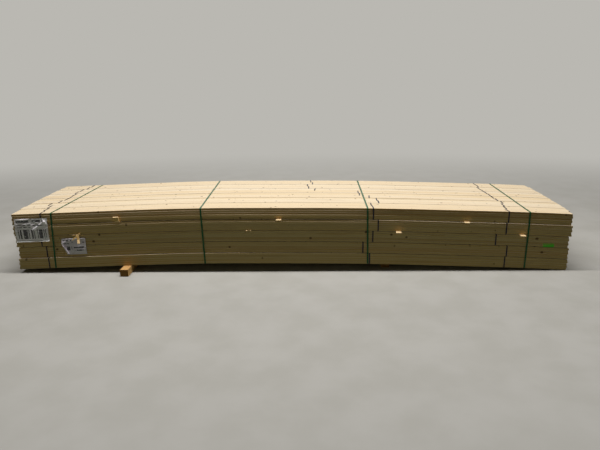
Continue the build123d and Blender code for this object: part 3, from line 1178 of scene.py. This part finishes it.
@dataclass
class Bearers:
    """The two sawn bearers that the pack lies on."""

    shape: PackShape
    length: float = 1.25
    # How far the front ends stand out of the pack's front
    left_out: float = 0.135
    right_out: float = -0.090
    ease: float = 0.002
    stations: int = 26
    # Slow waves of their sides: how deep, and radians per metre
    wander: float = 0.0008
    wave: float = 7.0
    # Of the wood: length of log that it comes from, distance from its pith, and tint
    log_length: float = 40.0
    pith: tuple[float, float] = (0.012, -0.020)
    tint: float = 0.6
    seed: int = 5

    def make(self, wood: bpy.types.Material) -> list[bpy.types.Object]:
        """Makes both bearers.

        Args:
            wood: The bearers' material.

        Returns:
            The left and the right bearer.
        """
        shape, made = self.shape, []
        draw = np.random.default_rng(self.seed)
        for name, place, out in (("bearer_left", shape.left_bearer, self.left_out),
                                 ("bearer_right", shape.right_bearer, self.right_out)):
            along = np.linspace(0, self.length, self.stations)
            section = eased_section(shape.bearer_width, shape.bearer_height, self.ease)
            waste = self.wander * (1 + np.sin(along * self.wave + draw.uniform(0, 6)))[:, None]
            points = np.empty((self.stations, len(section), 3))
            inward = 1 - 2 * waste / shape.bearer_width
            points[..., 0] = (shape.left + place
                              + (section[:, 0] - shape.bearer_width / 2) * inward)
            points[..., 1] = (shape.front - out + along)[:, None]
            points[..., 2] = section[:, 1]
            local = np.empty_like(points)
            local[..., 0] = along[:, None]
            local[..., 1:] = section - section.mean(axis=0)
            pith = (draw.uniform(0, self.log_length), *self.pith)
            piece = Piece(f"sawn_{name}")
            piece.add(points.reshape(-1, 3), tube_faces(self.stations, len(section)),
                      place=local.reshape(-1, 3), grain=(local + pith).reshape(-1, 3), tint=[self.tint])
            made.append(piece.make(wood, "bearer_wood", [name]))
        return made


@dataclass(frozen=True)
class PrintedSheet:
    """Plain paper under polyethylene film, printed with generic bars, crumpled and glossy."""

    # Painted highlights: thin bright lines are painted along the film's folds where they would catch the
    # light, and the folds bend the print under them
    name: str
    paper: str
    ink: str
    # Left, right, top and bottom of each printed block, then the pitch of its bars and the
    # share of them that is inked: a plain block has the pitch 0
    marks: tuple[tuple[float, float, float, float, float, float], ...]
    # Strength of the painted highlights along the folds
    painted_glint: float
    roughness: float
    crumple_mm: float = 55.0
    relief_mm: float = 4.0
    # Colours of the clear rim and of the painted highlights along the folds
    clear: str = "#F4F4F2"
    painted_glint_colour: str = "#F2F3F4"
    # Distance from the top at which the clear rim starts, and how white it is
    rim: tuple[float, float] | None = None

    def build(self) -> bpy.types.Material:
        """Builds the material.

        Returns:
            The finished material.
        """
        material, add = fresh_material(self.name)
        spot = add("Attribute", output="Vector", attribute_name="spot")
        # Folds of the film are about crumple_mm apart, with finer ones between them
        drawn = add("VectorMath", [spot, (0.8, 1.2, 1.0)], operation="MULTIPLY")
        fold = add("TexNoise", {"Vector": drawn, "Scale": 1 / (self.crumple_mm * MM), "Detail": 3.0,
                                "Roughness": 0.45})
        bent = add("Math", [fold, 0.010, -0.005], operation="MULTIPLY_ADD")
        across, down = (add("Math", [part, bent], operation="ADD")
                        for part in add("SeparateXYZ", [spot]).node.outputs[:2])
        ink: Any = 0.0
        for left, right, top, bottom, pitch, share in self.marks:
            inside = add("Math", [
                add("Math", [across, (left + right) / 2, (right - left) / 2], operation="COMPARE"),
                add("Math", [down, (top + bottom) / 2, (bottom - top) / 2], operation="COMPARE")],
                operation="MULTIPLY")
            if pitch:
                cell = add("Math", [add("Math", [across, pitch], operation="DIVIDE")], operation="FLOOR")
                dice = add("TexWhiteNoise", {"W": add("Math", [cell, 31.7 * top], operation="ADD")},
                           "Value", noise_dimensions="1D")
                bar = add("Math", [dice, share], operation="LESS_THAN")
                inside = add("Math", [inside, bar], operation="MULTIPLY")
            ink = add("Math", [ink, inside], operation="MAXIMUM")
        colour = add("Mix", {0: add("Math", [ink, 0.97], operation="MULTIPLY"),
                             6: linear(self.paper), 7: linear(self.ink)}, 2, **COLOURS)
        if self.rim:
            edge = add("Math", [down, self.rim[0]], operation="GREATER_THAN")
            colour = add("Mix", {0: add("Math", [edge, self.rim[1]], operation="MULTIPLY"),
                                 6: colour, 7: linear(self.clear)}, 2, **COLOURS)
        # Painted highlight: along the middle height of its folds the film is painted paler, where it would
        # turn towards the light
        ridge = add("Math", [add("Math", [fold, 0.5], operation="SUBTRACT")], operation="ABSOLUTE")
        painted_glint = add("MapRange", [ridge, 0.014, 0.003, 0.0, self.painted_glint], **SMOOTH)
        colour = add("Mix", {0: painted_glint, 6: colour, 7: linear(self.painted_glint_colour)}, 2, **COLOURS)
        # Between the folds the film has a fine orange peel, 2 to 3 mm wide
        fine = add("TexNoise", {"Vector": spot, "Scale": 420.0, "Detail": 2.0})
        height = add("Math", [fine, 0.06, fold], operation="MULTIPLY_ADD")
        add("OutputMaterial", {"Surface": add("BsdfPrincipled", {
            "Base Color": colour, "Roughness": self.roughness, "IOR": 1.5,
            "Normal": add("Bump", {"Height": height, "Strength": 0.9,
                                   "Distance": self.relief_mm * MM})})})
        return material


@dataclass
class LabelSheet:
    """One label on the front: a thin sheet with soft folds and, if it has one, a curled corner."""

    shape: PackShape
    name: str
    slot: str
    node: str
    # Place of its left edge along the pack, and how far its top edge lies below the pack's top
    place: float
    drop: float
    width: float
    height: float
    # How far its back face lies behind the pack's front: below 0 is in front
    back: float
    thickness: float
    # How far its soft waves stand out
    fold: float
    # Width and height of the curled lower left corner
    corner: tuple[float, float] | None = None
    curl_radius: float = 0.009
    columns: int = 112
    rows: int = 80
    # Creases stand out of the sheet: start and end across and down it, height and half width
    creases: tuple[tuple[float, float, float, float, float, float], ...] = ()
    # Small creases of the crumpled film: how many, their length, how far they turn up or down
    # from the level, the height of the highest and their half width
    crumples: int = 0
    crumple_length: tuple[float, float] = (0.02, 0.07)
    crumple_turn: float = 0.9
    crumple_height: float = 0.004
    crumple_half: tuple[float, float] = (0.0035, 0.006)
    seed: int = 17
    # The sheet bellies out between its fixed top and its foot, most of all below the middle
    belly: float = 0.0
    belly_low: float = 1.4
    # The sleeve's sealed bottom edge turns outward: how far, and how much of it
    flare: float = 0.0
    seal: float = 0.013

    def small_creases(self) -> list[tuple[float, ...]]:
        """Rolls the small creases of the crumpled film.

        Returns:
            Rows like those of creases.
        """
        draw = np.random.default_rng(self.seed)
        small = []
        for _ in range(self.crumples):
            x, y = draw.uniform(0, self.width), draw.uniform(0, self.height)
            turn = draw.uniform(-self.crumple_turn, self.crumple_turn)
            run = draw.uniform(*self.crumple_length)
            small.append((x, y, x + run * math.cos(turn), y - run * math.sin(turn),
                          self.crumple_height * draw.uniform(0.4, 1.0), draw.uniform(*self.crumple_half)))
        return small

    def surface(self) -> tuple[np.ndarray, np.ndarray]:
        """Shapes the sheet's back face.

        Returns:
            A grid of positions, and a grid of distances from its upper left corner.
        """
        shape = self.shape
        across, down = np.meshgrid(np.linspace(0, self.width, self.columns),
                                   np.linspace(0, self.height, self.rows))
        spots = np.stack([across, down, np.zeros_like(across)], axis=-1)
        # Two soft waves cross each other, about 18 and 10 cm long
        out = self.fold * (0.5 + 0.3 * np.sin(across * 31 + down * 17)
                           + 0.2 * np.sin(down * 58 - across * 23))
        out = out + self.belly * np.sin(math.pi * (down / self.height) ** self.belly_low)
        for start_x, start_y, end_x, end_y, height, half in (*self.creases, *self.small_creases()):
            run = np.array([end_x - start_x, end_y - start_y])
            offset = np.stack([across - start_x, down - start_y], axis=-1)
            share = np.clip(offset @ run / (run @ run), 0, 1)
            gap = np.linalg.norm(offset - share[..., None] * run, axis=-1)
            out = out + height * np.exp(-(gap / half) ** 2) * (0.4 + 0.6 * np.sin(math.pi * share))
        # Past the slanting line at the lower left corner the sheet rolls up on itself
        wide, high = self.corner or (1.0, 1.0)
        run = math.hypot(wide, high)
        past = (wide * high - high * across - wide * (self.height - down)) / run
        past = np.clip(past, 0, None) if self.corner else np.zeros_like(across)
        turn = past / self.curl_radius
        slide = (past - self.curl_radius * np.sin(turn)) / run
        out = out + self.curl_radius * (1 - np.cos(turn))
        # The sealed bottom edge catches the light from above
        out = out + self.flare * np.clip(1 - (self.height - down) / self.seal, 0, 1) ** 2
        top = shape.underside(self.place + across) + shape.height - self.drop
        points = np.stack([shape.left + self.place + across + slide * high,
                           shape.front + self.back - out, top - down + slide * wide], axis=-1)
        return points, spots

    def make(self, material: bpy.types.Material) -> bpy.types.Object:
        """Makes the sheet.

        Args:
            material: Its printed face.

        Returns:
            The sheet's object.
        """
        points, spots = self.surface()
        normal = np.cross(np.gradient(points, axis=1), np.gradient(points, axis=0))
        normal /= np.linalg.norm(normal, axis=2, keepdims=True)
        front = points + normal * self.thickness * np.sign(-normal[0, -1, 1])
        count = self.columns * self.rows
        faces = []
        for row in range(self.rows - 1):
            for column in range(self.columns - 1):
                spot = row * self.columns + column
                quad = [spot, spot + 1, spot + 1 + self.columns, spot + self.columns]
                faces += [quad, [corner + count for corner in quad[::-1]]]
        rim = (list(range(self.columns))
               + [row * self.columns + self.columns - 1 for row in range(1, self.rows)]
               + [(self.rows - 1) * self.columns + column for column in range(self.columns - 2, -1, -1)]
               + [row * self.columns for row in range(self.rows - 2, 0, -1)])
        for here, there in zip(rim, rim[1:] + rim[:1]):
            faces.append([here, there, there + count, here + count])
        piece = Piece(self.name)
        flat = spots.reshape(-1, 3)
        piece.add(np.vstack([points.reshape(-1, 3), front.reshape(-1, 3)]), faces,
                  spot=np.vstack([flat, flat]))
        return piece.make(material, self.slot, [self.node])


def seen_share(add: Callable[..., Any]) -> bpy.types.NodeSocket:
    """Tells rays that the eye follows, straight or by way of gloss or film, from the others.

    Args:
        add: Adds a node to the material or world.

    Returns:
        The socket, 1 for such rays and 0 for the others.
    """
    path = add("LightPath").node.outputs
    bounced = add("Math", [path["Is Glossy Ray"], path["Is Transmission Ray"]], operation="MAXIMUM")
    return add("Math", [path["Is Camera Ray"], bounced], operation="MAXIMUM")


@dataclass(frozen=True)
class BareConcrete:
    """Bare concrete, trowelled: pale, mottled and matt, and plain backdrop farther away."""

    # It scatters the light evenly: the eye sees soft shadows on it and no reflection
    name: str = "pale_floor"
    pale: str = "#B4B1A9"
    paler: str = "#BBB8B1"
    # The floor looks pale, but throws no more light up at the pack than this
    concrete: str = "#7F8577"
    backdrop: str = "#BAB8B2"
    roughness: float = 0.85
    # Trowelled patches are a third of a metre wide
    mottle_mm: float = 1000 / 3
    # From about 2 to 7 m away the floor passes over into the plain backdrop, slower along the pack
    passing: tuple[float, float] = (1.7, 7.0)
    lengthwise: float = 0.55

    def build(self) -> bpy.types.Material:
        """Builds the material.

        Returns:
            The finished material.
        """
        material, add = fresh_material(self.name)
        spot = add("TexCoord", output="Object")
        mottle = add("TexNoise", {"Vector": spot, "Scale": 1 / (self.mottle_mm * MM), "Detail": 4.0})
        pale = add("Mix", {0: add("MapRange", [mottle, 0.3, 0.7], **SMOOTH), 6: linear(self.pale),
                           7: linear(self.paler)}, 2, **COLOURS)
        seen = seen_share(add)
        colour = add("Mix", {0: seen, 6: linear(self.concrete), 7: pale}, 2, **COLOURS)
        drawn = add("VectorMath", [spot, (self.lengthwise, 1.0, 1.0)], operation="MULTIPLY")
        away = add("VectorMath", [drawn], "Value", operation="LENGTH")
        glow = add("Math", [seen, add("MapRange", [away, *self.passing], **SMOOTH)], operation="MULTIPLY")
        add("OutputMaterial", {"Surface": add("BsdfPrincipled", {
            "Base Color": add("Mix", {0: glow, 6: colour, 7: BLACK}, 2, **COLOURS),
            "Roughness": self.roughness, "Specular IOR Level": 0.0,
            "Emission Color": linear(self.backdrop), "Emission Strength": glow})})
        return material


@dataclass
class Studio:
    """Pale floor, soft light and the photograph's camera."""

    lens_px: float = 540.04
    image_width_px: float = 600.0
    sensor_mm: float = 36.0
    sight_length: float = 200.0
    # Of the camera: position from the pack's upper left front edge on the floor, and its turns
    place: tuple[float, float, float] = (2.9916, -4.9924, 1.9579)
    pitch_deg: float = 16.540
    yaw_deg: float = -1.986
    roll_deg: float = 0.931
    # Name, position, turn in degrees, size and power: a strip nearly straight above the front
    # face, which leaves that face to the light from the floor, and a weak lamp at the back
    lamps: tuple[tuple[Any, ...], ...] = (
        ("overhead", (0.0, -0.48, 7.0), (0, 0, 0), (9.0, 0.6), 600),
        ("back_fill", (0.0, 6.0, 3.6), (-62, 0, 0), (8.0, 2.5), 90))
    fill: str = "#EEE4D0"
    fill_strength: float = 0.035
    floor_reach: float = 30.0

    def camera(self, shape: PackShape) -> None:
        """Sets the camera where the photograph was taken from.

        Args:
            shape: Sizes of the pack.
        """
        data = bpy.data.cameras.new("photo_camera")
        data.sensor_fit = "HORIZONTAL"
        data.sensor_width = self.sensor_mm
        data.lens = self.lens_px / self.image_width_px * self.sensor_mm
        data.clip_end = self.sight_length
        camera = bpy.data.objects.new("photo_camera", data)
        turn = (Matrix.Rotation(math.radians(-self.yaw_deg), 4, "Z")
                @ Matrix.Rotation(math.radians(90 - self.pitch_deg), 4, "X")
                @ Matrix.Rotation(math.radians(-self.roll_deg), 4, "Z"))
        spot = (self.place[0] + shape.left, self.place[1] + shape.front, self.place[2])
        camera.matrix_world = Matrix.Translation(spot) @ turn
        bpy.context.scene.collection.objects.link(camera)
        bpy.context.scene.camera = camera

    def lamp(self, name: str, spot: tuple[float, float, float], turn_deg: tuple[float, float, float],
             size: tuple[float, float], power: float) -> None:
        """Adds one soft lamp.

        Args:
            name: Name of the lamp.
            spot: Its position.
            turn_deg: Its turn about each axis, in degrees: it shines down if none is given.
            size: Length and width of its face.
            power: Its power in watts.
        """
        data = bpy.data.lights.new(name, "AREA")
        data.shape = "RECTANGLE"
        data.size, data.size_y = size
        data.energy = power
        lamp = bpy.data.objects.new(name, data)
        lamp.location = spot
        lamp.rotation_euler = [math.radians(angle) for angle in turn_deg]
        bpy.context.scene.collection.objects.link(lamp)

    def floor(self, material: bpy.types.Material) -> None:
        """Makes the floor and marks it as stage.

        Args:
            material: Its material.
        """
        mesh = bpy.data.meshes.new("studio_floor")
        reach = self.floor_reach
        mesh.from_pydata([(-reach, -reach, 0), (reach, -reach, 0), (reach, reach, 0), (-reach, reach, 0)],
                         [], [(0, 1, 2, 3)])
        mesh.materials.append(material)
        floor = bpy.data.objects.new("studio_floor", mesh)
        bpy.context.scene.collection.objects.link(floor)

    def world(self, backdrop: str) -> None:
        """Makes the world: a weak warm fill that is seen as the plain backdrop.

        Args:
            backdrop: Colour of the backdrop.
        """
        world = bpy.data.worlds.new("studio")
        world.use_nodes = True
        world.node_tree.nodes.clear()
        add = partial(add_node, world.node_tree)
        fill = add("Background", {"Color": linear(self.fill), "Strength": self.fill_strength})
        plain = add("Background", {"Color": linear(backdrop), "Strength": 1.0})
        add("OutputWorld", {"Surface": add("MixShader", [seen_share(add), fill, plain])})
        bpy.context.scene.world = world

    def make(self, shape: PackShape) -> None:
        """Sets up floor, world, lamps and camera.

        Args:
            shape: Sizes of the pack.
        """
        bpy.context.scene.view_settings.view_transform = "Standard"
        concrete = BareConcrete()
        self.floor(concrete.build())
        self.world(concrete.backdrop)
        for settings in self.lamps:
            self.lamp(*settings)
        self.camera(shape)


def main() -> None:
    """Builds the pack, one sub-assembly after the other."""
    logging.basicConfig(level=logging.INFO, format="%(name)s %(message)s")
    shape = PackShape()
    Studio().make(shape)
    # Green marking paint covers part of one layer: the other layers are bare wood
    patch = PaintPatch()
    wood = SawnSoftwood().build()
    painted = SawnSoftwood(name="sawn_spruce_painted", paint=patch.box(shape)).build()
    for layer in range(shape.layers):
        BattenLayer(shape, layer).make(painted if layer == patch.layer else wood)
    # Laths are cut rougher from warmer wood, and are too thin for dark ends and for the dust and painted
    # shade of edges to show
    lath = SawnSoftwood(name="rough_lath", pale="#F3DDB4", warm="#DDAE6E", roughness=0.86,
                        end_shade=0.1, arris_dust_and_shade=0.0)
    JointLaths(shape).make(lath.build())
    # The bearers are older and browner, with few knots and dark end grain at their fronts, darkened further
    # by painted shade
    timber = SawnSoftwood(name="bearer_spruce", pale="#E8BE80", warm="#C38E50", ring="#7A4E28",
                          length_axis=1, end_shade=0.6, knot_spacing_mm=900.0, arris_dust_and_shade=0.0)
    Bearers(shape).make(timber.build())
    BundleBands(shape).make(DrawnPolymer("polypropylene_band", "#1B1420", "#3A3340", 0.42, 1.6).build())
    PackStraps(shape).make(DrawnPolymer("polyester_strap", "#0D4A1C", "#2A6638", 0.40, 2.2).build())
    film = PrintedSheet(
        name="sleeve_print", paper="#F6EEF2", ink="#070609", painted_glint=0.7, roughness=0.22, relief_mm=9.0,
        rim=(0.219, 1.0), marks=(
            (0.016, 0.140, 0.016, 0.038, 0.0, 1.0), (0.176, 0.312, 0.014, 0.036, 0.013, 0.62),
            (0.020, 0.210, 0.060, 0.070, 0.018, 0.75), (0.020, 0.160, 0.080, 0.088, 0.012, 0.7),
            (0.212, 0.306, 0.062, 0.072, 0.012, 0.6), (0.026, 0.310, 0.108, 0.204, 0.0088, 0.72)))
    sleeve = LabelSheet(
        shape, "sleeve_sheet", "sleeve_film", "label_sleeve", place=0.024, drop=0.046, width=0.328,
        height=0.232, back=-0.0103, thickness=0.0009, fold=0.0030, flare=0.016, crumples=30,
        crumple_height=0.0035, belly=0.008, creases=(
            (0.175, 0.118, 0.300, 0.030, 0.010, 0.008), (0.232, 0.128, 0.262, 0.205, 0.009, 0.008),
            (0.020, 0.008, 0.150, 0.005, 0.006, 0.005), (0.060, 0.062, 0.150, 0.048, 0.005, 0.006),
            (0.286, 0.016, 0.318, 0.060, 0.008, 0.007)))
    sleeve.make(film.build())
    paper = PrintedSheet(
        name="tag_print", paper="#D2C9D0", ink="#141216", painted_glint=0.35, roughness=0.40, crumple_mm=80.0,
        relief_mm=6.0, marks=(
            (0.016, 0.096, 0.014, 0.026, 0.014, 0.65), (0.020, 0.072, 0.044, 0.058, 0.012, 0.7),
            (0.046, 0.096, 0.080, 0.122, 0.013, 0.7), (0.112, 0.222, 0.084, 0.100, 0.012, 0.65),
            (0.124, 0.216, 0.116, 0.128, 0.014, 0.6), (0.100, 0.224, 0.036, 0.046, 0.012, 0.5)))
    tag = LabelSheet(
        shape, "tag_paper", "tag_sheet", "label_tag", place=0.466, drop=0.262, width=0.240,
        height=0.166, back=-0.0074, thickness=0.0006, fold=0.0040, corner=(0.062, 0.150),
        crumples=12, belly=0.006, creases=(
            (0.010, 0.040, 0.100, 0.012, 0.006, 0.007), (0.130, 0.140, 0.225, 0.110, 0.005, 0.007),
            (0.020, 0.006, 0.230, 0.004, 0.005, 0.004)))
    tag.make(paper.build())


if __name__ == "__main__":
    main()
